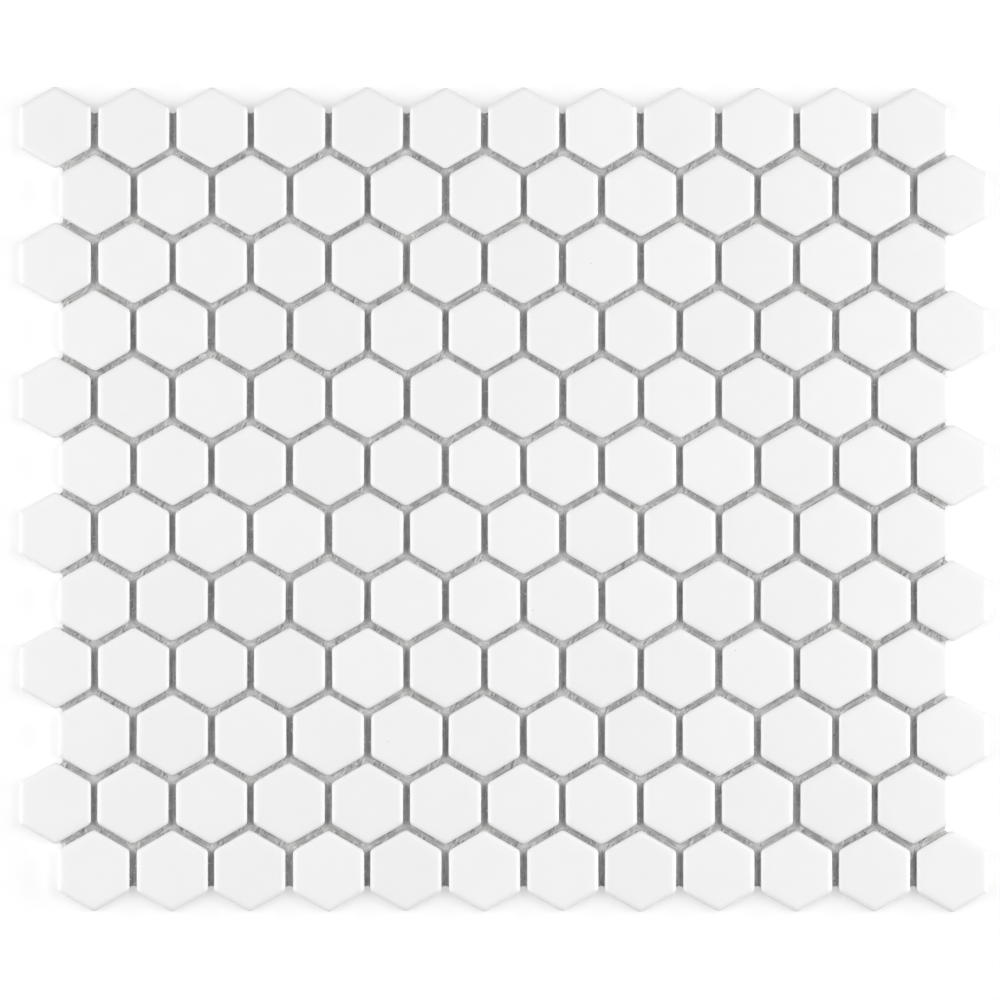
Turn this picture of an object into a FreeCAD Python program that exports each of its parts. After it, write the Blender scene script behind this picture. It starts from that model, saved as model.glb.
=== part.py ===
import FreeCAD, Part
import math
import os
import random
import Sketcher

# A sheet of small porcelain hexagon tiles on a fibre netting, lying flat with
# its face up. The origin is under the middle of the sheet, +Z is up and +X
# runs along the rows. All sizes are millimetres.

doc = FreeCAD.newDocument("HexagonSheet")

# Every size once, in the order in which it is used.
sizes = [
    ("rows", 12),
    ("columns", 12),
    ("chip_flats", 22.2),
    ("chip_thick", 5),
    ("joint_gap", 2.1),
    # The upright corners are blunt, and so are the corners of the face.
    ("corner_wide", 0.96),
    ("bend_corner", 0.75),
    ("face_corner", 0.5),
    # From the side inwards the edge rises steeply and then gently to the face.
    ("bend_in", 0.5),
    ("face_in", 1.7),
    ("edge_down", 0.9),
    ("bend_down", 0.26),
    # Play of a chip that was laid by hand, well inside the joint.
    ("play_shift", 0.14),
    ("play_turn", 0.4),
    # The netting ends inside the middles of the outermost chips along the rows,
    # and outside the middles of the first and last rows, always under chips.
    ("net_side_in", 2.7),
    ("net_end_out", 4.3),
    ("yarn_pitch", 5),
    ("yarn_wide", 0.9),
    ("yarn_thick", 0.2),
]
sheet = doc.addObject("Spreadsheet::Sheet", "Sizes")
for line, (name, value) in enumerate(sizes, 1):
    sheet.set(f"A{line}", name)
    sheet.set(f"B{line}", str(value))
    sheet.setAlias(f"B{line}", name)
doc.recompute()


def size(name):
    return float(sheet.get(name))


rows = int(size("rows"))
columns = int(size("columns"))
pitch = "(Sizes.chip_flats + Sizes.joint_gap)"


def origin_part(body, role):
    # A plane or axis of the body's own origin, found by its role.
    return [item for item in body.Origin.OriginFeatures if item.Role == role][0]


def flat_sketch(body, label, height):
    sketch = body.newObject("Sketcher::SketchObject", label)
    sketch.AttachmentSupport = (origin_part(body, "XY_Plane"), [""])
    sketch.MapMode = "FlatFace"
    sketch.setExpression("AttachmentOffset.Base.z", height)
    return sketch


def measure(sketch, formula, *what):
    # A driving measure that follows a formula of the sizes.
    number = sketch.addConstraint(Sketcher.Constraint(*what))
    sketch.setExpression(f"Constraints[{number}]", formula)


def hexagon_sketch(body, label, inset, corner, height):
    # A hexagon with a flat to +X and six blunt corners, inset from the chip's side.
    sketch = flat_sketch(body, label, height)
    middle = FreeCAD.Vector(0, 0, 0)
    reach = size("chip_flats") / 2
    side = 2 * (reach - size("corner_wide")) / math.sqrt(3)
    points = []
    for turn in range(6):
        turned = FreeCAD.Rotation(middle + FreeCAD.Vector(0, 0, 1), 60 * turn)
        points.append(turned.multVec(FreeCAD.Vector(reach, -side / 2, 0)))
        points.append(turned.multVec(FreeCAD.Vector(reach, side / 2, 0)))
    count = len(points)
    for edge in range(count):
        sketch.addGeometry(Part.LineSegment(points[edge], points[(edge + 1) % count]))
    round_all = Part.Circle(middle, FreeCAD.Vector(0, 0, 1), points[0].Length)
    circle = sketch.addGeometry(round_all, True)
    for edge in range(count):
        joined = Sketcher.Constraint("Coincident", edge, 2, (edge + 1) % count, 1)
        sketch.addConstraint(joined)
        sketch.addConstraint(Sketcher.Constraint("PointOnObject", edge, 1, circle))
    sketch.addConstraint(Sketcher.Constraint("Coincident", circle, 3, -1, 1))
    for edge in range(2, count, 2):
        sketch.addConstraint(Sketcher.Constraint("Equal", 0, edge))
        sketch.addConstraint(Sketcher.Constraint("Equal", 1, edge + 1))
    sketch.addConstraint(Sketcher.Constraint("Vertical", 0))
    measure(sketch, corner, "Distance", 1, size("corner_wide"))
    measure(sketch, f"Sizes.chip_flats / 2 - {inset}", "DistanceX", -1, 1, 0, 1, reach)
    return sketch


# One chip: an upright block with a cushioned edge on top.
chip = doc.addObject("PartDesign::Body", "Chip")
chip.Label = "chip"
shoulder = "Sizes.chip_thick - Sizes.edge_down"
bend = "Sizes.chip_thick - Sizes.bend_down"
foot_line = hexagon_sketch(chip, "Foot", "0", "Sizes.corner_wide", "0")
side_line = hexagon_sketch(chip, "Shoulder", "0", "Sizes.corner_wide", shoulder)
bend_line = hexagon_sketch(chip, "Bend", "Sizes.bend_in", "Sizes.bend_corner", bend)
face_line = hexagon_sketch(
    chip, "Face", "Sizes.face_in", "Sizes.face_corner", "Sizes.chip_thick"
)
block = chip.newObject("PartDesign::Pad", "Block")
block.Profile = foot_line
block.setExpression("Length", shoulder)
cushion = chip.newObject("PartDesign::AdditiveLoft", "Cushion")
cushion.Profile = side_line
cushion.Sections = [bend_line, face_line]
cushion.Ruled = True
chip.Tip = cushion
doc.recompute()

sub_parts = []


def tile_row(row, laid):
    # Twelve copies of the chip side by side; every other row sits half a chip over.
    stagger = -1 if row % 2 == 0 else 1
    copies = []
    for column in range(columns):
        copy = doc.addObject("App::Link", f"Chip_{row + 1}_{column + 1}")
        copy.LinkedObject = chip
        along = f"{column} - (Sizes.columns - 1) / 2 + {stagger} / 4"
        across = f"((Sizes.rows - 1) / 2 - {row}) * sqrt(3) / 2"
        right, up, turn = [round(laid.uniform(-1, 1), 2) for _ in range(3)]
        copy.setExpression(
            "Placement.Base.x", f"({along}) * {pitch} + {right} * Sizes.play_shift"
        )
        copy.setExpression(
            "Placement.Base.y", f"{across} * {pitch} + {up} * Sizes.play_shift"
        )
        copy.setExpression("Placement.Base.z", "2 * Sizes.yarn_thick")
        copy.setExpression("Placement.Rotation.Angle", f"{turn} * Sizes.play_turn")
        copies.append(copy)
    line = doc.addObject("Part::Compound", f"TileRow{row + 1}")
    line.Label = f"tile_row_{row + 1:02d}"
    line.Links = copies
    sub_parts.append(line)


def yarn_set(label, along, across, length, spread, height):
    # Flat yarns side by side, as many as the netting's own size has room for.
    count = f"floor({spread} / Sizes.yarn_pitch)"
    first = f"(-({count} - 1) * Sizes.yarn_pitch / 2 - Sizes.yarn_wide / 2)"
    body = doc.addObject("PartDesign::Body", label)
    body.Label = label
    outline = flat_sketch(body, f"{label}_outline", "0")
    runs_in_x = along == "X"
    long_side = float(sheet.evalExpression(length))
    short_side = size("yarn_wide")
    wide, high = (long_side, short_side) if runs_in_x else (short_side, long_side)
    corners = [(0, 0), (wide, 0), (wide, high), (0, high)]
    for edge in range(4):
        start = FreeCAD.Vector(*corners[edge], 0)
        end = FreeCAD.Vector(*corners[(edge + 1) % 4], 0)
        outline.addGeometry(Part.LineSegment(start, end))
    for edge in range(4):
        joined = Sketcher.Constraint("Coincident", edge, 2, (edge + 1) % 4, 1)
        outline.addConstraint(joined)
    outline.addConstraint(Sketcher.Constraint("Horizontal", 0))
    outline.addConstraint(Sketcher.Constraint("Horizontal", 2))
    outline.addConstraint(Sketcher.Constraint("Vertical", 1))
    outline.addConstraint(Sketcher.Constraint("Vertical", 3))
    outline.addConstraint(Sketcher.Constraint("Coincident", 0, 1, -1, 1))
    sizes_here = [length, "Sizes.yarn_wide"]
    if not runs_in_x:
        sizes_here.reverse()
    measure(outline, sizes_here[0], "Distance", 0, wide)
    measure(outline, sizes_here[1], "Distance", 1, high)
    yarn = body.newObject("PartDesign::Pad", f"{label}_yarn")
    yarn.Profile = outline
    yarn.setExpression("Length", "Sizes.yarn_thick")
    run = body.newObject("PartDesign::LinearPattern", f"{label}_run")
    run.Originals = [yarn]
    run.Direction = (origin_part(body, f"{across}_Axis"), [""])
    run.setExpression("Occurrences", count)
    run.setExpression("Length", f"({count} - 1) * Sizes.yarn_pitch")
    body.Tip = run
    body.setExpression(f"Placement.Base.{along.lower()}", f"-{length} / 2")
    body.setExpression(f"Placement.Base.{across.lower()}", first)
    body.setExpression("Placement.Base.z", height)
    sub_parts.append(body)


laid = random.Random(8)
for row in range(rows):
    tile_row(row, laid)
net_wide = f"((Sizes.columns - 1 / 2) * {pitch} - 2 * Sizes.net_side_in)"
net_high = f"((Sizes.rows - 1) * {pitch} * sqrt(3) / 2 + 2 * Sizes.net_end_out)"
# The yarns that run across the rows lie lowest, the ones along the rows on them.
yarn_set("net_warp_yarns", "Y", "X", net_high, net_wide, "0")
yarn_set("net_weft_yarns", "X", "Y", net_wide, net_high, "Sizes.yarn_thick")
doc.recompute()

for item in doc.Objects:
    if "Invalid" in item.State or "Error" in item.State:
        raise RuntimeError(f"{item.Label} did not recompute")
os.makedirs("parts", exist_ok=True)
for item in sub_parts:
    if item.Shape.isNull() or not item.Shape.isValid():
        raise RuntimeError(f"{item.Label} has no valid shape")
    item.Shape.exportStep(f"parts/{item.Label}.step")
    print(item.Label, len(item.Shape.Solids), "solids")
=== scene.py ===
import math
import random

import bpy
import numpy as np
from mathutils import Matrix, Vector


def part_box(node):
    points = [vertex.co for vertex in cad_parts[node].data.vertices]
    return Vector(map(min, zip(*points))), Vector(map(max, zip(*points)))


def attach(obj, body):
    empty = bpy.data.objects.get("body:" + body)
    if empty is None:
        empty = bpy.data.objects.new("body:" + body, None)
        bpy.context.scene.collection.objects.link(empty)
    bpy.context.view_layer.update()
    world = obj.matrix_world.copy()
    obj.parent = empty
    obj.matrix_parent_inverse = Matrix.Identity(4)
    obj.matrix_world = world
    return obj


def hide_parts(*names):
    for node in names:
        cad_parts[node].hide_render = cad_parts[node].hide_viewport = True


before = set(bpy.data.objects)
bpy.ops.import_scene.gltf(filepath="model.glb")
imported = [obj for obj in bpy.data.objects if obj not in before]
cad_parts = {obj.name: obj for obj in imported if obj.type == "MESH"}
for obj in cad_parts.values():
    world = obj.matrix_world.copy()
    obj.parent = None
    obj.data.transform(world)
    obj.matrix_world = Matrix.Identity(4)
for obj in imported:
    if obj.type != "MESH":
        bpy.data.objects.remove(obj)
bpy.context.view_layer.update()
print("frame loaded")

# A sheet of small white porcelain hexagons, face up, held together by glue and a netting
# of glass-fibre yarns. Its rows run along X. The sizes of its pieces are in millimetres.
mm = 0.001
seed = 8
sharpAngle = math.radians(40)   # edges that turn more than this stay crisp

# The frame's nodes that the pieces stand for; the first row is the one with the highest Y.
rowNodes = sorted(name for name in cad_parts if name.startswith("tile_row_"))
weftNode = "net_weft_yarns"     # along the rows, against the backs of the chips
warpNode = "net_warp_yarns"     # across the rows, on the floor


def linear(hexColour):
    # sRGB hex, as a paint chart gives it, to the linear values that shaders want
    parts = [int(hexColour[i:i + 2], 16) / 255 for i in (0, 2, 4)]
    return [p / 12.92 if p <= 0.04045 else ((p + 0.055) / 1.055) ** 2.4 for p in parts] + [1.0]


def newMaterial(name):
    material = bpy.data.materials.new(name)
    material.use_nodes = True
    material.node_tree.nodes.clear()
    return material


def addNode(material, kind, inputs=None, **settings):
    # One node: its own settings, and its inputs by name or number, each fixed or linked.
    node = material.node_tree.nodes.new(kind)
    for key, value in settings.items():
        setattr(node, key, value)
    for key, value in (inputs or {}).items():
        if isinstance(value, bpy.types.NodeSocket):
            material.node_tree.links.new(value, node.inputs[key])
        else:
            node.inputs[key].default_value = value
    return node


def meshPiece(name, points, faces, material, node):
    mesh = bpy.data.meshes.new(name)
    mesh.from_pydata([tuple(p) for p in points], [], faces)
    mesh.validate()
    mesh.materials.append(material)
    mesh.shade_smooth()
    mesh.set_sharp_from_angle(angle=sharpAngle)
    piece = bpy.data.objects.new(name, mesh)
    bpy.context.scene.collection.objects.link(piece)
    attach(piece, "root")
    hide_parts(node)
    return piece


def addValues(piece, **lists):
    # One number for each point of a mesh, which its material reads by name.
    for label, values in lists.items():
        attribute = piece.data.attributes.new(label, "FLOAT", "POINT")
        attribute.data.foreach_set("value", np.asarray(values, np.float32))


# The porcelain chip: pressed, glazed matt white, its edge softly rounded by the glaze and
# its back ribbed for the adhesive.
chip = {
    "flats": 22.2,
    "pitch": 24.3,              # from the middle of one chip to the next
    "columns": 12,
    "cornerRadius": 1.8,        # in plan, round the side
    "faceCornerRadius": 0.95,   # in plan, where the flat face starts
    "cornerSteps": 5,
    "edgeWidth": 1.7,           # how far the rounded edge comes in over the face
    "edgeDrop": 0.9,            # and how far it drops to the side
    "edgeSteps": 7,
    "crown": 0.03,              # the face stands a hair higher in its middle
    "crownRings": (0.8, 0.5, 0.2),
    "footRound": 0.3,           # the side rolls under to the back
    "footSteps": 3,
    "glazeLine": 1.6,           # the glaze stops this far above the back
    "glazeFade": 0.3,
    "rimWidth": 1.5,            # the back's plain rim round its sunk panel
    "panelDepth": 0.22,
    "panelSlope": 0.25,
    "panelRadius": 0.9,
    "panelFloorRadius": 0.8,
    "panelMiddle": 2.0,         # reach of the innermost ring of its mesh
    "ribs": 5,
    "ribWide": 1.1,
    "ribPitch": 3.1,
    "ribShort": 0.4,            # a rib stops this far from the panel's wall
    "ribFlank": 0.3,            # where its top rounds off, as a share of its width
    "ribRound": 0.03,
    "ribSunk": 0.05,            # its foot goes this deep into the panel's floor
    "faceLevel": 0.01,          # points of the frame this near its top belong to the faces
    "tilt": 0.12,               # degrees, the most that a laid chip is out of level
}


def hexRing(reach, radius, steps):
    # A rounded hexagon with a flat to +X: six arcs, joined by straight sides.
    points = []
    out = (reach - radius) / math.cos(math.radians(30))
    for corner in range(6):
        middle = math.radians(30 + 60 * corner)
        for step in range(steps + 1):
            angle = middle + math.radians(-30 + 60 * step / steps)
            points.append((
                out * math.cos(middle) + radius * math.cos(angle),
                out * math.sin(middle) + radius * math.sin(angle),
            ))
    return points


def chipProfile(thick):
    # Rings from the back's middle round the side to the face: reach, corner radius,
    # height, and 1 where the chip is glazed.
    half = chip["flats"] / 2
    faceReach = half - chip["edgeWidth"]
    panelReach = half - chip["rimWidth"]
    sideRadius, faceRadius = chip["cornerRadius"], chip["faceCornerRadius"]
    rings = [
        (chip["panelMiddle"], chip["panelRadius"], chip["panelDepth"], 0),
        (panelReach - chip["panelSlope"], chip["panelFloorRadius"], chip["panelDepth"], 0),
        (panelReach, chip["panelRadius"], 0.0, 0),
    ]
    for step in range(chip["footSteps"] + 1):
        turn = math.radians(90 * step / chip["footSteps"])
        inset = chip["footRound"] * (1 - math.sin(turn))
        up = chip["footRound"] * (1 - math.cos(turn))
        rings.append((half - inset, sideRadius - inset / 2, up, 0))
    rings.append((half, sideRadius, chip["glazeLine"], 0))
    rings.append((half, sideRadius, chip["glazeLine"] + chip["glazeFade"], 1))
    edgeTop = thick - chip["crown"]
    for step in range(chip["edgeSteps"] + 1):
        turn = math.radians(90 * step / chip["edgeSteps"])
        share = 1 - math.cos(turn)
        radius = sideRadius + (faceRadius - sideRadius) * share
        height = edgeTop - chip["edgeDrop"] * (1 - math.sin(turn))
        rings.append((half - chip["edgeWidth"] * share, radius, height, 1))
    for share in chip["crownRings"]:
        height = thick - chip["crown"] * share ** 2
        rings.append((faceReach * share, faceRadius * share, height, 1))
    return rings


def addRibs(points, faces):
    # Ribs across the sunk panel, level with the rim and rounded along their length.
    panelReach = chip["flats"] / 2 - chip["rimWidth"]
    foot = chip["panelDepth"] + chip["ribSunk"]
    flank, ease = chip["ribFlank"], chip["ribRound"]
    profile = [(-0.5, foot), (-flank, ease), (0.0, 0.0), (flank, ease), (0.5, foot)]
    side = len(profile)
    for rib in range(chip["ribs"]):
        y = (rib - (chip["ribs"] - 1) / 2) * chip["ribPitch"]
        wall = (panelReach / math.cos(math.radians(30)) - abs(y)) / math.tan(math.radians(30))
        end = min(panelReach, wall) - chip["ribShort"]
        start = len(points)
        for x in (-end, end):
            points += [(x, y + across * chip["ribWide"], height) for across, height in profile]
        for i in range(side):
            after = (i + 1) % side
            faces.append((start + i, start + after, start + side + after, start + side + i))
        faces.append(tuple(start + i for i in reversed(range(side))))
        faces.append(tuple(start + side + i for i in range(side)))


def chipMesh(thick):
    # Points, faces and how far each point is glazed, with the back's middle at the origin.
    rings = chipProfile(thick)
    count = 6 * (chip["cornerSteps"] + 1)
    points = [(0.0, 0.0, rings[0][2])]
    glazed = [0.0]
    for reach, radius, height, glaze in rings:
        points += [(x, y, height) for x, y in hexRing(reach, radius, chip["cornerSteps"])]
        glazed += [float(glaze)] * count
    points.append((0.0, 0.0, thick))
    glazed.append(1.0)
    last = len(points) - 1
    faces = []
    for i in range(count):
        after = (i + 1) % count
        faces.append((0, 1 + after, 1 + i))
        faces.append((last, last - count + i, last - count + after))
    for ring in range(len(rings) - 1):
        low = 1 + ring * count
        high = low + count
        for i in range(count):
            after = (i + 1) % count
            faces.append((low + i, low + after, high + after, high + i))
    addRibs(points, faces)
    glazed += [0.0] * (len(points) - len(glazed))
    return np.array(points), faces, np.array(glazed)


def latticePlace(row, column):
    # Where a chip would lie if every joint were even. Every other row sits half a chip over.
    step = chip["pitch"] * mm
    stagger = -0.25 if row % 2 == 0 else 0.25
    across = (len(rowNodes) - 1) / 2 - row
    return (column - (chip["columns"] - 1) / 2 + stagger) * step, across * math.sqrt(3) / 2 * step


def chipPlaces(row):
    # Middle and turn of every chip in a row as it was laid, read from the frame's faces.
    points = np.array([v.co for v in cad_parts[rowNodes[row]].data.vertices])
    points = points[points[:, 2] > points[:, 2].max() - chip["faceLevel"] * mm]
    places = []
    for column in range(chip["columns"]):
        own = np.abs(points[:, 0] - latticePlace(row, column)[0]) < chip["pitch"] * mm / 2
        corners = points[own]
        middle = (corners.min(0) + corners.max(0)) / 2
        away = corners[:, :2] - middle[:2]
        # Six times a corner's angle is half a turn more than six times the chip's own turn.
        phase = np.exp(6j * np.arctan2(away[:, 1], away[:, 0])).sum()
        places.append((middle[0], middle[1], np.angle(-phase) / 6))
    return places


def buildRow(row, material, chance):
    node = rowNodes[row]
    low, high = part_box(node)
    thick = (high.z - low.z) / mm
    points, faces, glazed = chipMesh(thick)
    rowPoints, rowFaces, tones = [], [], []
    for x, y, turn in chipPlaces(row):
        lean = math.tan(math.radians(chip["tilt"]) * chance.random())
        toward = chance.uniform(0, 2 * math.pi)
        cosTurn, sinTurn = math.cos(turn), math.sin(turn)
        laid = points.copy()
        laid[:, 0] = points[:, 0] * cosTurn - points[:, 1] * sinTurn
        laid[:, 1] = points[:, 0] * sinTurn + points[:, 1] * cosTurn
        # The face leans a little, never above the chip's own height.
        slope = lean * (laid[:, 0] * math.cos(toward) + laid[:, 1] * math.sin(toward))
        laid[:, 2] += points[:, 2] / thick * (slope - lean * chip["flats"] / 2)
        start = len(rowPoints) * len(points)
        rowPoints.append(laid * mm + np.array([x, y, low.z]))
        rowFaces += [tuple(start + i for i in face) for face in faces]
        tones += [chance.random()] * len(points)
    name = node.replace("tile_row_", "porcelainRow")
    piece = meshPiece(name, np.concatenate(rowPoints), rowFaces, material, node)
    addValues(piece, chipTone=tones, glazed=np.tile(glazed, len(rowPoints)))


def mattGlazedPorcelain():
    # Dry-pressed porcelain under a matt white glaze: a soft even white with a wide,
    # weak sheen, a faint orange-peel skin, a rare pinhole in the glaze, and the duller,
    # warmer body below it.
    look = {
        "glazeLight": "EAEAEA",
        "glazeDark": "E4E4E4",
        "body": "DCDBD8",
        "pinhole": "B4B4B4",
        "roughness": 0.36,
        "bodyRoughness": 0.75,
        "ior": 1.5,
        "clouds": 9 * mm,           # slow changes of tone within a chip
        "peel": 0.9 * mm,
        "grain": 0.12 * mm,         # of the pressed body
        "bump": 0.12,
        "relief": 0.05 * mm,
        "pinholeWide": 0.35 * mm,
        "pinholeRim": (0.6, 1.2),   # it fades between these shares of its radius
        "pinholeApart": 9 * mm,     # between the places where one could be
        "pinholeShare": 0.015,      # of those places
    }
    m = newMaterial("mattGlazedPorcelain")
    sheet = addNode(m, "ShaderNodeTexCoord").outputs["Object"]
    tone = addNode(m, "ShaderNodeAttribute", attribute_name="chipTone").outputs["Fac"]
    glaze = addNode(m, "ShaderNodeAttribute", attribute_name="glazed").outputs["Fac"]
    clouds = addNode(m, "ShaderNodeTexNoise", {
        "Vector": sheet, "Scale": 1 / look["clouds"], "Detail": 2.0})
    both = addNode(m, "ShaderNodeMath", {0: tone, 1: clouds.outputs["Fac"]}, operation="ADD")
    halved = addNode(m, "ShaderNodeMath", {0: both.outputs[0], 1: 0.5}, operation="MULTIPLY")
    white = addNode(m, "ShaderNodeMix", {
        0: halved.outputs[0], 6: linear(look["glazeDark"]), 7: linear(look["glazeLight"])},
        data_type="RGBA")
    # Dark dots, in the middles of a few cells.
    cells = addNode(m, "ShaderNodeTexVoronoi", {
        "Vector": sheet, "Scale": 1 / look["pinholeApart"]}, voronoi_dimensions="2D")
    radius = look["pinholeWide"] / look["pinholeApart"] / 2
    inner, outer = look["pinholeRim"]
    dot = addNode(m, "ShaderNodeMapRange", {
        "Value": cells.outputs["Distance"],
        "From Min": radius * inner, "From Max": radius * outer, "To Min": 1.0, "To Max": 0.0})
    lot = addNode(m, "ShaderNodeSeparateColor", {"Color": cells.outputs["Color"]})
    rare = addNode(m, "ShaderNodeMath", {
        0: lot.outputs["Red"], 1: look["pinholeShare"]}, operation="LESS_THAN")
    hole = addNode(m, "ShaderNodeMath", {
        0: dot.outputs[0], 1: rare.outputs[0]}, operation="MULTIPLY")
    dotted = addNode(m, "ShaderNodeMix", {
        0: hole.outputs[0], 6: white.outputs[2], 7: linear(look["pinhole"])}, data_type="RGBA")
    colour = addNode(m, "ShaderNodeMix", {
        0: glaze, 6: linear(look["body"]), 7: dotted.outputs[2]}, data_type="RGBA")
    rough = addNode(m, "ShaderNodeMapRange", {
        "Value": glaze, "To Min": look["bodyRoughness"], "To Max": look["roughness"]})
    peel = addNode(m, "ShaderNodeTexNoise", {
        "Vector": sheet, "Scale": 1 / look["peel"], "Detail": 3.0})
    grain = addNode(m, "ShaderNodeTexNoise", {
        "Vector": sheet, "Scale": 1 / look["grain"], "Detail": 2.0})
    skin = addNode(m, "ShaderNodeMix", {
        0: glaze, 2: grain.outputs["Fac"], 3: peel.outputs["Fac"]}, data_type="FLOAT")
    bump = addNode(m, "ShaderNodeBump", {
        "Height": skin.outputs[0], "Strength": look["bump"], "Distance": look["relief"]})
    shader = addNode(m, "ShaderNodeBsdfPrincipled", {
        "Base Color": colour.outputs[2], "Roughness": rough.outputs[0],
        "Normal": bump.outputs[0], "IOR": look["ior"]})
    addNode(m, "ShaderNodeOutputMaterial", {"Surface": shader.outputs[0]})
    return m


# The netting of glass-fibre yarns. Flat strands lie side by side along the rows; under
# them pairs of thinner strands twist round each other.
netting = {
    "yarnGap": 1.5,             # points of the frame further apart are on different yarns
    "fray": 0.5,                # how unevenly the yarns were cut at the sheet's edge
    "swayWaves": 3,             # every yarn wanders in slow waves
    "swayLong": (12, 60),
    "waveStart": 6.3,           # radians, a whole turn
    "weftStrands": 3,
    "weftSides": 5,
    "weftStep": 2.6,
    "weftSway": 0.10,
    "weftWaveLong": (5, 15),    # each strand has a quicker wave of its own
    "weftWave": 0.5,            # as a share of the sway
    "weftWide": 0.95,           # shares of a strand's room that it fills
    "weftHigh": 0.8,
    "weftClose": 0.85,          # how closely the strands lie
    "warpSides": 4,
    "warpStep": 1.25,
    "warpTwist": 10.0,          # one full twist of a pair
    "warpSway": 0.08,
    "warpSwing": 0.45,          # how far a strand swings, as shares of the yarn's half width
    "warpLift": 0.35,           # and of its half height
    "warpHalfWide": 0.22,
    "warpHigh": 0.65,
}


def yarnLines(node, axis):
    # Where each yarn of a layer runs, read from the frame.
    places = np.sort(np.array([v.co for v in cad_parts[node].data.vertices])[:, axis])
    breaks = np.nonzero(np.diff(places) > netting["yarnGap"] * mm)[0]
    return [(yarn.min() + yarn.max()) / 2 for yarn in np.split(places, breaks + 1)]


def strandMesh(centres, halfWide, halfHigh, side, sides, points, faces):
    # A flattened strand along a line of centres; side is the level direction to its left.
    start = len(points)
    count = len(centres)
    for centre in centres:
        for corner in range(sides):
            angle = 2 * math.pi * (corner + 0.5) / sides
            wide = halfWide * math.cos(angle)
            points.append((
                centre[0] + side[0] * wide,
                centre[1] + side[1] * wide,
                centre[2] + halfHigh * math.sin(angle),
            ))
    for ring in range(count - 1):
        low = start + ring * sides
        for corner in range(sides):
            after = (corner + 1) % sides
            faces.append((low + corner, low + after, low + sides + after, low + sides + corner))
    faces.append(tuple(start + i for i in reversed(range(sides))))
    faces.append(tuple(start + (count - 1) * sides + i for i in range(sides)))


def drawWave(longs, chance):
    # The length and the start of one wave.
    return chance.uniform(*longs) * mm, chance.uniform(0, netting["waveStart"])


def drawSway(chance):
    return [drawWave(netting["swayLong"], chance) for _ in range(netting["swayWaves"])]


def swayAt(waves, along):
    return sum(math.sin(along / length + start) for length, start in waves) / len(waves)


def yarnSteps(low, high, step, chance):
    # Even steps between the two cut ends of a yarn.
    first = low + chance.random() * netting["fray"] * mm
    final = high - chance.random() * netting["fray"] * mm
    steps = round((final - first) / (step * mm))
    return [first + (final - first) * i / steps for i in range(steps + 1)]


def buildWeft(node, material, chance):
    low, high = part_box(node)
    middle = (low.z + high.z) / 2
    halfHigh = (high.z - low.z) / 2 * netting["weftHigh"]
    points, faces = [], []
    lines = yarnLines(node, 1)
    yarnHalf = lines[0] - low.y
    strands = netting["weftStrands"]
    halfWide = yarnHalf / strands
    for y in lines:
        waves = drawSway(chance)
        for strand in range(strands):
            offset = (strand - (strands - 1) / 2) * 2 * (yarnHalf - halfWide) / (strands - 1)
            length, start = drawWave(netting["weftWaveLong"], chance)
            centres = []
            for x in yarnSteps(low.x, high.x, netting["weftStep"], chance):
                wave = netting["weftWave"] * math.sin(x / length + start)
                sway = (swayAt(waves, x) + wave) * netting["weftSway"] * mm
                centres.append((x, y + offset * netting["weftClose"] + sway, middle))
            strandMesh(centres, halfWide * netting["weftWide"], halfHigh, (0, 1),
                       netting["weftSides"], points, faces)
    meshPiece("nettingWeft", points, faces, material, node)


def buildWarp(node, material, chance):
    low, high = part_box(node)
    middle = (low.z + high.z) / 2
    halfHigh = (high.z - low.z) / 2
    points, faces = [], []
    lines = yarnLines(node, 0)
    swing = (lines[0] - low.x) * netting["warpSwing"]
    for x in lines:
        waves = drawSway(chance)
        start = chance.uniform(0, netting["waveStart"])
        for strand in range(2):
            centres = []
            for y in yarnSteps(low.y, high.y, netting["warpStep"], chance):
                twist = start + math.pi * strand + 2 * math.pi * y / (netting["warpTwist"] * mm)
                across = x + swing * math.cos(twist) + swayAt(waves, y) * netting["warpSway"] * mm
                lift = halfHigh * netting["warpLift"] * math.sin(twist)
                centres.append((across, y, middle + lift))
            strandMesh(centres, netting["warpHalfWide"] * mm, halfHigh * netting["warpHigh"],
                       (-1, 0), netting["warpSides"], points, faces)
    meshPiece("nettingWarp", points, faces, material, node)


def glassFibreYarn():
    # Glass-fibre yarn in a white resin size: bright, slightly silky along its filaments.
    look = {
        "dark": "DEDEDE",
        "light": "F2F2F2",
        "thread": 0.5 * mm,         # far coarser than the filaments, which would not show
        "bump": 0.4,
        "relief": 0.05 * mm,
        "roughness": 0.5,
        "ior": 1.55,
    }
    m = newMaterial("glassFibreYarn")
    sheet = addNode(m, "ShaderNodeTexCoord").outputs["Object"]
    threads = addNode(m, "ShaderNodeTexNoise", {
        "Vector": sheet, "Scale": 1 / look["thread"], "Detail": 3.0})
    colour = addNode(m, "ShaderNodeMix", {
        0: threads.outputs["Fac"], 6: linear(look["dark"]), 7: linear(look["light"])},
        data_type="RGBA")
    bump = addNode(m, "ShaderNodeBump", {
        "Height": threads.outputs["Fac"], "Strength": look["bump"], "Distance": look["relief"]})
    shader = addNode(m, "ShaderNodeBsdfPrincipled", {
        "Base Color": colour.outputs[2], "Normal": bump.outputs[0],
        "Roughness": look["roughness"], "IOR": look["ior"]})
    addNode(m, "ShaderNodeOutputMaterial", {"Surface": shader.outputs[0]})
    return m


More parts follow.
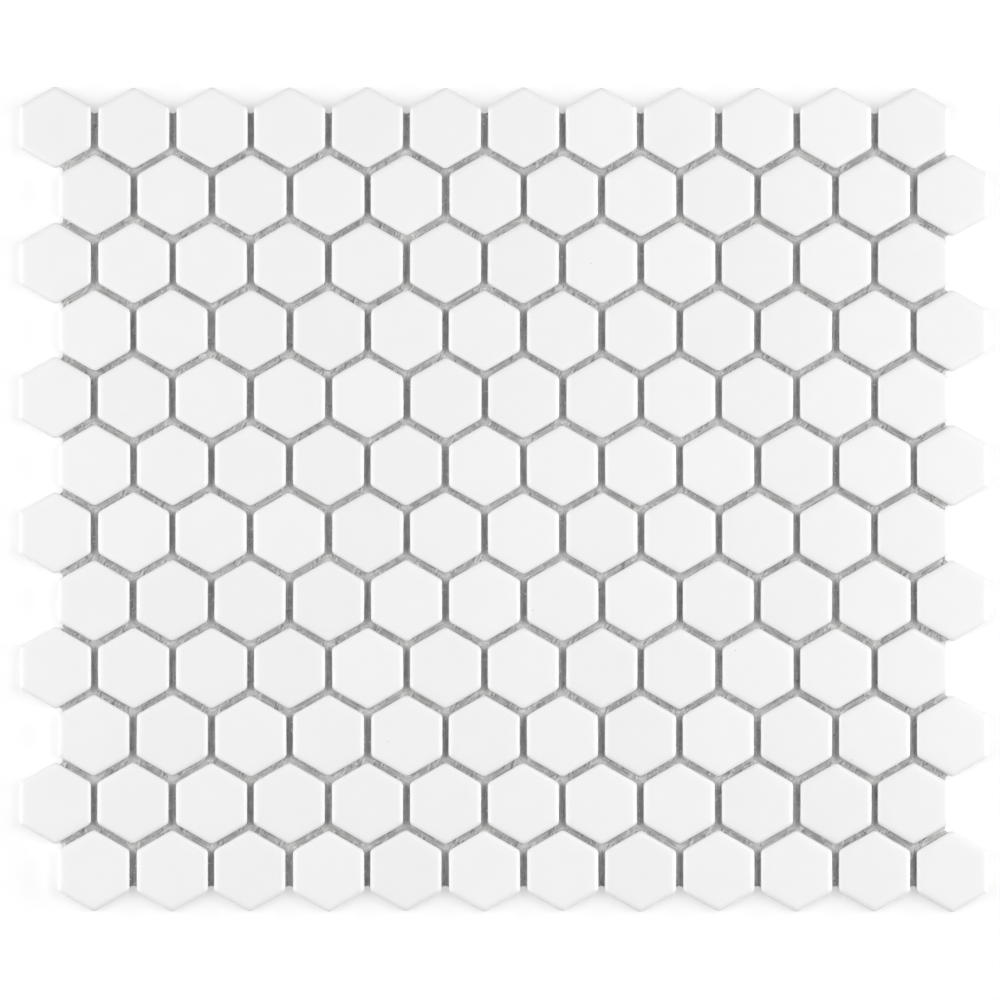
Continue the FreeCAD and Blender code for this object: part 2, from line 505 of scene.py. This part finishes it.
# The clear-drying glue that bonds chips and netting. It bridges the joints as a thin
# film, and between the outermost chips its free end is hollow. Its grey is painted shade,
# standing for the shade deep in the narrow joints.
adhesive = {
    "tuck": 0.6,                # how far the film reaches under the chips
    "spread": 0.45,             # and how unevenly
    "under": 0.002,             # its top lies this far below the chips' backs
    "thick": 0.03,
    "sag": 0.01,
    "endIn": 2.5,               # a free end stops this far short of the joint's own end
    "endHollow": 0.5,
    "endHollowMost": 1.6,       # times as much, where it goes under the chips
    "poolWide": 3.0,            # how far from a meeting of three joints the film is painted whiter, as painted light
    "poolWhite": 0.26,
    "poolSmooth": 1.8,          # how far from there it has next to no folds
    "poolFolds": -0.12,
    "foldsFrom": 3.0,           # how far from there it has most of its folds
    "foldsWide": 2.6,
    "foldsSlantedLit": (0.11, 0.0),    # how much likelier there, and all along the joint; painted light, as the lamps reach these
    "foldsUprightShaded": (0.04, -0.1),
    "patternShift": 90,         # so that no two joints show the same streaks
    "patternDeep": 3,           # and this many times as far into the pattern's depth
    "alongSteps": 10,
    "acrossSteps": 4,
    "hairs": 3,                 # loose filaments in each joint
    "hairThick": 0.05,          # from its middle out, thicker than real so that it shows
    "hairSides": 3,
    "hairStep": 0.7,
    "hairSteps": 5,
    "hairSide": 0.7,            # how far from the joint's line one starts, as a share
    "hairLift": (-0.02, 0.05),
    "hairSlant": 0.5,           # radians, how far one usually turns away from that line
    "hairBend": 0.25,           # and how far it turns at each step
    "hairTurn": 1.2,            # and the most that it ever turns away
    "crumbs": 1,                # small lumps of glue in each joint, at the most
    "crumbWide": 0.3,
    "crumbSmall": 0.5,          # the smallest one, as a share
    "crumbLong": 1.3,
    "crumbHigh": 0.12,
    "crumbSide": 0.8,
    "crumbCorners": 7,
    "crumbRings": ((1, -0.05), (0.8, 0.6), (0.4, 1)),   # width and height, from the film up
    "crumbRough": (0.75, 1.1),
}
jointHalf = chip["pitch"] / math.sqrt(3) / 2    # half a joint's length, to where three meet
gapHalf = (chip["pitch"] - chip["flats"]) / 2   # half its width, to the chips' sides


def jointLines():
    # Every joint between two chips: its middle, the unit line along it, whether it is
    # slanted, and whether it meets others at the end before its middle and the one after.
    middles = {}
    for row in range(len(rowNodes)):
        for column in range(chip["columns"]):
            middles[row, column] = latticePlace(row, column)
    joints = []
    for (row, column), (x, y) in middles.items():
        slant = column if row % 2 else column - 1
        right, lowRight, lowLeft = (row, column + 1), (row + 1, slant + 1), (row + 1, slant)
        left, upRight = (row, column - 1), (row - 1, slant + 1)
        # The chip across the joint, and the ones off its two ends.
        for other, before, after in (
                (right, lowRight, upRight), (lowRight, lowLeft, right), (lowLeft, left, lowRight)):
            if other not in middles:
                continue
            toX, toY = middles[other][0] - x, middles[other][1] - y
            far = math.hypot(toX, toY)
            joints.append({
                "middle": (x + toX / 2, y + toY / 2),
                "line": (-toY / far, toX / far),
                "slanted": other != right,
                "meets": (before in middles, after in middles),
            })
    return joints


def onSheet(joint, along, side, height):
    # From millimetres along and across a joint to the sheet.
    (x, y), (lineX, lineY) = joint["middle"], joint["line"]
    return (
        x + (along * lineX + side * lineY) * mm,
        y + (along * lineY - side * lineX) * mm,
        height,
    )


def filmPoint(joint, share, across, spread):
    # A point of a joint's film, from -1 to 1 along and across it, in millimetres. The
    # spread of its edge soon fades out inwards.
    side = across * (gapHalf + adhesive["tuck"] + spread * abs(across) ** 3)
    if joint["meets"][share > 0]:
        end = jointHalf - abs(side) / math.sqrt(3)
    else:
        hollow = min(adhesive["endHollowMost"], (side / gapHalf) ** 2)
        end = jointHalf - adhesive["endIn"] + adhesive["endHollow"] * hollow
    return share * end, side, -adhesive["sag"] * (1 - across ** 2)


def poolAndFolds(joint, along):
    # How much painted light whitens the film at a place along a joint, and how much
    # likelier folds are there.
    away = jointHalf - abs(along)
    near = max(0, 1 - away / adhesive["poolWide"]) * joint["meets"][along > 0]
    folds = max(0, 1 - abs(away - adhesive["foldsFrom"]) / adhesive["foldsWide"])
    smooth = max(0, 1 - away / adhesive["poolSmooth"])
    there, everywhere = adhesive["foldsSlantedLit" if joint["slanted"] else "foldsUprightShaded"]
    likelier = there * folds + adhesive["poolFolds"] * smooth + everywhere
    return adhesive["poolWhite"] * near, likelier


def addFilmFaces(start, meets, faces):
    # Both sides of one joint's film, and its rim.
    longways, crossways = adhesive["alongSteps"], adhesive["acrossSteps"]
    row = crossways + 1
    under = (longways + 1) * row        # from a point of the top to the one below it
    for i in range(longways):
        for j in range(crossways):
            a = start + i * row + j
            quad = (a + 1, a + row + 1, a + row, a)
            faces.append(quad)
            faces.append(tuple(under + corner for corner in reversed(quad)))
    rim = [start + j for j in range(crossways + 1)]
    rim += [start + i * row + crossways for i in range(1, longways + 1)]
    rim += [start + longways * row + j for j in reversed(range(crossways))]
    rim += [start + i * row for i in reversed(range(1, longways))]
    # There is no wall where the film runs on into the next joints' films.
    before, after = meets
    runsOn = [before] * crossways + [False] * longways + [after] * crossways + [False] * longways
    for this, following, joined in zip(rim, rim[1:] + rim[:1], runsOn):
        if not joined:
            faces.append((under + this, under + following, following, this))


def buildFilm(node, joints, material, chance):
    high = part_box(node)[1]
    top = high.z - adhesive["under"] * mm
    points, faces, pattern, pool, folded = [], [], [], [], []
    longways, crossways = adhesive["alongSteps"], adhesive["acrossSteps"]
    for joint in joints:
        start = len(points)
        shift = chance.uniform(0, adhesive["patternShift"])
        edges = [
            [chance.random() * adhesive["spread"] for _ in range(longways + 1)] for _ in range(2)]
        for drop in (0, adhesive["thick"]):
            for i in range(longways + 1):
                for j in range(crossways + 1):
                    spread = edges[2 * j > crossways][i] if 0 < i < longways else 0
                    along, side, down = filmPoint(
                        joint, 2 * i / longways - 1, 2 * j / crossways - 1, spread)
                    points.append(onSheet(joint, along, side, top + (down - drop) * mm))
                    pattern.append((along + shift, side, shift * adhesive["patternDeep"]))
                    white, likelier = poolAndFolds(joint, along)
                    pool.append(white)
                    folded.append(likelier)
        addFilmFaces(start, joint["meets"], faces)
    piece = meshPiece("adhesiveFilmPaintedShade", points, faces, material, node)
    attribute = piece.data.attributes.new("jointPlace", "FLOAT_VECTOR", "POINT")
    attribute.data.foreach_set("vector", np.asarray(pattern, np.float32).ravel())
    addValues(piece, pool=pool, folded=folded)


def addHair(joint, half, base, chance, points, faces):
    # One loose filament, never wider than the joint.
    step, turn = adhesive["hairStep"], adhesive["hairTurn"]
    along = chance.uniform(-half, half - adhesive["hairSteps"] * step)
    side = chance.uniform(-adhesive["hairSide"], adhesive["hairSide"]) * gapHalf
    heading = chance.gauss(0, adhesive["hairSlant"])
    centres = []
    for _ in range(adhesive["hairSteps"] + 1):
        height = base + chance.uniform(*adhesive["hairLift"]) * mm
        centres.append(onSheet(joint, along, max(-gapHalf, min(gapHalf, side)), height))
        heading += chance.gauss(0, adhesive["hairBend"])
        heading = max(-turn, min(turn, heading))
        along += step * math.cos(heading)
        side += step * math.sin(heading)
    lineX, lineY = joint["line"]
    thick = adhesive["hairThick"] * mm
    strandMesh(centres, thick, thick, (-lineY, lineX), adhesive["hairSides"], points, faces)


def addCrumb(joint, half, base, chance, points, faces):
    # One lump of glue: rings of an uneven outline that close in upwards.
    along = chance.uniform(-half, half)
    side = chance.uniform(-adhesive["crumbSide"], adhesive["crumbSide"]) * gapHalf
    wide = adhesive["crumbWide"] * chance.uniform(adhesive["crumbSmall"], 1)
    rings, count = adhesive["crumbRings"], adhesive["crumbCorners"]
    start = len(points)
    for share, lift in rings:
        for corner in range(count):
            angle = 2 * math.pi * corner / count
            out = wide * share * chance.uniform(*adhesive["crumbRough"])
            points.append(onSheet(
                joint, along + adhesive["crumbLong"] * out * math.cos(angle),
                side + out * math.sin(angle), base + adhesive["crumbHigh"] * lift * wide * mm))
    for ring in range(len(rings) - 1):
        for corner in range(count):
            a = start + ring * count + corner
            b = start + ring * count + (corner + 1) % count
            faces.append((a, a + count, b + count, b))
    last = start + (len(rings) - 1) * count
    faces.append(tuple(last + corner for corner in reversed(range(count))))
    faces.append(tuple(start + corner for corner in range(count)))


def buildHairs(node, joints, material, chance):
    # Loose filaments of the netting and small lumps of glue that lie on the film.
    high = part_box(node)[1]
    half = jointHalf - adhesive["endIn"]
    points, faces = [], []
    for joint in joints:
        for _ in range(adhesive["hairs"]):
            addHair(joint, half, high.z, chance, points, faces)
        for _ in range(chance.randint(0, adhesive["crumbs"])):
            addCrumb(joint, half, high.z, chance, points, faces)
    meshPiece("nettingHairs", points, faces, material, node)


def driedGlueFilmPaintedShade():
    # White glue dried thin, its grey painted shade for the shade deep in the narrow joints:
    # an even film, faintly streaked along the joint where it was drawn out, with folds across
    # it in patches whose light and dark streaks are painted light and shade, painted light
    # where three joints meet, and whiter flecks.
    look = {
        # the darker end of the film's tone: painted shade for the shade in the joints
        "thinPaintedShade": "9C9C9C",
        "thick": "F2F2F2",
        "fleck": "F8F8F8",
        "roughness": 0.45,
        "ior": 1.48,
        "streakLong": 7.0 * mm,
        "streakWide": 0.5 * mm,
        "streakWeight": 2.0,        # against the clouds
        "clouds": 2.5 * mm,
        "evenFrom": (1.2, 1.8),
        "evenShare": 0.5,           # of the range from thin to thick, about its middle
        "foldLong": 2.2 * mm,
        "foldWide": 0.6 * mm,
        "foldTurn": 65,             # degrees from the rows
        "foldFrom": (0.36, 0.64),
        "patchWide": 2.4 * mm,
        "patchFrom": (0.55, 0.62),
        "fleckWide": 1.0 * mm,
        "fleckFrom": (0.66, 0.74),
        "bump": 1.0,
        "relief": 0.15 * mm,
    }
    m = newMaterial("driedGlueFilmPaintedShade")
    # Places in millimetres along and across each joint, and in metres on the whole sheet.
    local = addNode(m, "ShaderNodeAttribute", attribute_name="jointPlace").outputs["Vector"]
    sheet = addNode(m, "ShaderNodeTexCoord").outputs["Object"]
    drawn = addNode(m, "ShaderNodeVectorMath", {
        0: local, 1: (look["streakWide"] / look["streakLong"], 1, 1)}, operation="MULTIPLY")
    streaks = addNode(m, "ShaderNodeTexNoise", {
        "Vector": drawn.outputs[0], "Scale": mm / look["streakWide"], "Detail": 3.0})
    clouds = addNode(m, "ShaderNodeTexNoise", {
        "Vector": sheet, "Scale": 1 / look["clouds"], "Detail": 3.0})
    both = addNode(m, "ShaderNodeMath", {
        0: streaks.outputs["Fac"], 1: look["streakWeight"], 2: clouds.outputs["Fac"]},
        operation="MULTIPLY_ADD")
    even = addNode(m, "ShaderNodeMapRange", {
        "Value": both.outputs[0],
        "From Min": look["evenFrom"][0], "From Max": look["evenFrom"][1],
        "To Min": 0.5 - look["evenShare"] / 2, "To Max": 0.5 + look["evenShare"] / 2})
    # Folds that lean one way all over the sheet, in patches only. Their light and dark
    # streaks are painted light and shade of the folds' sides.
    inMm = addNode(m, "ShaderNodeVectorMath", {
        0: sheet, 1: (1 / mm, 1 / mm, 1 / mm)}, operation="MULTIPLY")
    turned = addNode(m, "ShaderNodeVectorRotate", {
        "Vector": inMm.outputs[0], "Angle": -math.radians(look["foldTurn"])},
        rotation_type="Z_AXIS")
    pulled = addNode(m, "ShaderNodeVectorMath", {
        0: turned.outputs[0], 1: (look["foldWide"] / look["foldLong"], 1, 1)},
        operation="MULTIPLY")
    creases = addNode(m, "ShaderNodeTexNoise", {
        "Vector": pulled.outputs[0], "Scale": mm / look["foldWide"], "Detail": 2.0})
    folds = addNode(m, "ShaderNodeMapRange", {
        "Value": creases.outputs["Fac"],
        "From Min": look["foldFrom"][0], "From Max": look["foldFrom"][1]})
    areas = addNode(m, "ShaderNodeTexNoise", {
        "Vector": sheet, "Scale": 1 / look["patchWide"], "Detail": 1.0})
    folded = addNode(m, "ShaderNodeAttribute", attribute_name="folded").outputs["Fac"]
    likely = addNode(m, "ShaderNodeMath", {
        0: areas.outputs["Fac"], 1: folded}, operation="ADD")
    patch = addNode(m, "ShaderNodeMapRange", {
        "Value": likely.outputs[0],
        "From Min": look["patchFrom"][0], "From Max": look["patchFrom"][1]})
    tone = addNode(m, "ShaderNodeMix", {
        0: patch.outputs[0], 2: even.outputs[0], 3: folds.outputs[0]}, data_type="FLOAT")
    colour = addNode(m, "ShaderNodeMix", {
        0: tone.outputs[0], 6: linear(look["thinPaintedShade"]), 7: linear(look["thick"])},
        data_type="RGBA")
    # Whiter flecks, and painted light where three joints meet and the open meeting lets in more
    # light.
    spots = addNode(m, "ShaderNodeTexNoise", {
        "Vector": sheet, "Scale": 1 / look["fleckWide"], "Detail": 1.0})
    flecks = addNode(m, "ShaderNodeMapRange", {
        "Value": spots.outputs["Fac"],
        "From Min": look["fleckFrom"][0], "From Max": look["fleckFrom"][1]})
    pool = addNode(m, "ShaderNodeAttribute", attribute_name="pool").outputs["Fac"]
    white = addNode(m, "ShaderNodeMath", {0: flecks.outputs[0], 1: pool}, operation="MAXIMUM")
    flecked = addNode(m, "ShaderNodeMix", {
        0: white.outputs[0], 6: colour.outputs[2], 7: linear(look["fleck"])},
        data_type="RGBA")
    bump = addNode(m, "ShaderNodeBump", {
        "Height": tone.outputs[0], "Strength": look["bump"], "Distance": look["relief"]})
    shader = addNode(m, "ShaderNodeBsdfPrincipled", {
        "Base Color": flecked.outputs[2], "Normal": bump.outputs[0],
        "Roughness": look["roughness"], "IOR": look["ior"]})
    addNode(m, "ShaderNodeOutputMaterial", {"Surface": shader.outputs[0]})
    return m


chance = random.Random(seed)
porcelain = mattGlazedPorcelain()
for row in range(len(rowNodes)):
    buildRow(row, porcelain, chance)
print("rows of chips built")
yarn = glassFibreYarn()
buildWeft(weftNode, yarn, chance)
buildWarp(warpNode, yarn, chance)
print("netting built")
joints = jointLines()
buildFilm(weftNode, joints, driedGlueFilmPaintedShade(), chance)
buildHairs(weftNode, joints, yarn, chance)
print("glue built")

# A plain pale floor, four soft lamps to the left and right, and a white backdrop, in
# metres and watts.
studio = {
    "floorSize": 24.0,
    "floorColour": "FCFCFC",
    "floorGlow": 0.5,           # the eye sees this share of the floor as plain white
    "floorFade": (0.5, 1.6),    # and more of it from here on out, till all is white
    "lampAway": 1.6,
    "lampSize": (1.2, 0.8),
    "lamps": {
        # degrees from +X, degrees above the floor, watts
        "leftLow": (179.5, 15, 17.0),
        "rightLow": (0.5, 15, 20.2),
        "leftHigh": (179, 60, 11.0),
        "rightHigh": (8, 62, 12.2),
    },
    "backdropLight": 0.02,      # how strongly the backdrop lights the sheet
}


def seenRay(material):
    # One for rays that the eye follows straight, by a reflection or through glass.
    path = addNode(material, "ShaderNodeLightPath").outputs
    mirrored = addNode(material, "ShaderNodeMath", {
        0: path["Is Camera Ray"], 1: path["Is Glossy Ray"]}, operation="MAXIMUM")
    seen = addNode(material, "ShaderNodeMath", {
        0: mirrored.outputs[0], 1: path["Is Transmission Ray"]}, operation="MAXIMUM")
    return seen.outputs[0]


def whitePaintedBoard():
    # Painted board without sheen. It runs into the white backdrop far from the sheet.
    m = newMaterial("whitePaintedBoard")
    paint = addNode(m, "ShaderNodeBsdfDiffuse", {"Color": linear(studio["floorColour"])})
    glow = addNode(m, "ShaderNodeEmission", {"Color": (1, 1, 1, 1), "Strength": 1.0})
    spot = addNode(m, "ShaderNodeTexCoord").outputs["Object"]
    away = addNode(m, "ShaderNodeVectorMath", {0: spot}, operation="LENGTH")
    near, far = studio["floorFade"]
    fade = addNode(m, "ShaderNodeMapRange", {
        "Value": away.outputs["Value"], "From Min": near, "From Max": far,
        "To Min": studio["floorGlow"]}, interpolation_type="SMOOTHSTEP")
    share = addNode(m, "ShaderNodeMath", {0: fade.outputs[0], 1: seenRay(m)}, operation="MULTIPLY")
    shader = addNode(m, "ShaderNodeMixShader", {
        0: share.outputs[0], 1: paint.outputs[0], 2: glow.outputs[0]})
    addNode(m, "ShaderNodeOutputMaterial", {"Surface": shader.outputs[0]})
    return m


def buildFloor():
    half = studio["floorSize"] / 2
    mesh = bpy.data.meshes.new("floor")
    corners = [(-half, -half, 0), (half, -half, 0), (half, half, 0), (-half, half, 0)]
    mesh.from_pydata(corners, [], [(0, 1, 2, 3)])
    mesh.materials.append(whitePaintedBoard())
    floor = bpy.data.objects.new("floor", mesh)
    bpy.context.scene.collection.objects.link(floor)


def buildLamps():
    for name, (azimuth, height, watts) in studio["lamps"].items():
        data = bpy.data.lights.new(name, "AREA")
        data.shape = "RECTANGLE"
        data.size, data.size_y = studio["lampSize"]
        data.energy = watts
        lamp = bpy.data.objects.new(name, data)
        level = studio["lampAway"] * math.cos(math.radians(height))
        lamp.location = (
            level * math.cos(math.radians(azimuth)),
            level * math.sin(math.radians(azimuth)),
            studio["lampAway"] * math.sin(math.radians(height)),
        )
        lamp.rotation_mode = "QUATERNION"
        lamp.rotation_quaternion = (-lamp.location).to_track_quat("-Z", "Y")
        bpy.context.scene.collection.objects.link(lamp)


def buildBackdrop():
    # It looks white to the camera and gives the sheet only a little light.
    world = bpy.data.worlds.new("studio")
    world.use_nodes = True
    background = world.node_tree.nodes["Background"]
    background.inputs["Color"].default_value = (1, 1, 1, 1)
    strength = addNode(world, "ShaderNodeMapRange", {
        "Value": seenRay(world), "To Min": studio["backdropLight"], "To Max": 1.0})
    world.node_tree.links.new(strength.outputs[0], background.inputs["Strength"])
    bpy.context.scene.world = world


# The camera hangs almost straight over the sheet with a long lens, which hides the
# chips' sides: metres, degrees, and millimetres of the lens and its sensor.
camera = {
    "place": (-0.05, -0.12, 6.0),
    "turn": (1.1444, -0.466, 0.017),
    "lens": 693.4,
    "sensor": 36,
    "farthest": 40,
}


def buildCamera():
    data = bpy.data.cameras.new("camera")
    data.sensor_width = camera["sensor"]
    data.lens = camera["lens"]
    data.clip_end = camera["farthest"]
    eye = bpy.data.objects.new("camera", data)
    eye.location = camera["place"]
    eye.rotation_euler = [math.radians(angle) for angle in camera["turn"]]
    bpy.context.scene.collection.objects.link(eye)
    bpy.context.scene.camera = eye


buildFloor()
buildLamps()
buildBackdrop()
buildCamera()
bpy.context.scene.view_settings.view_transform = "Standard"
print("studio set")

bpy.context.view_layer.update()
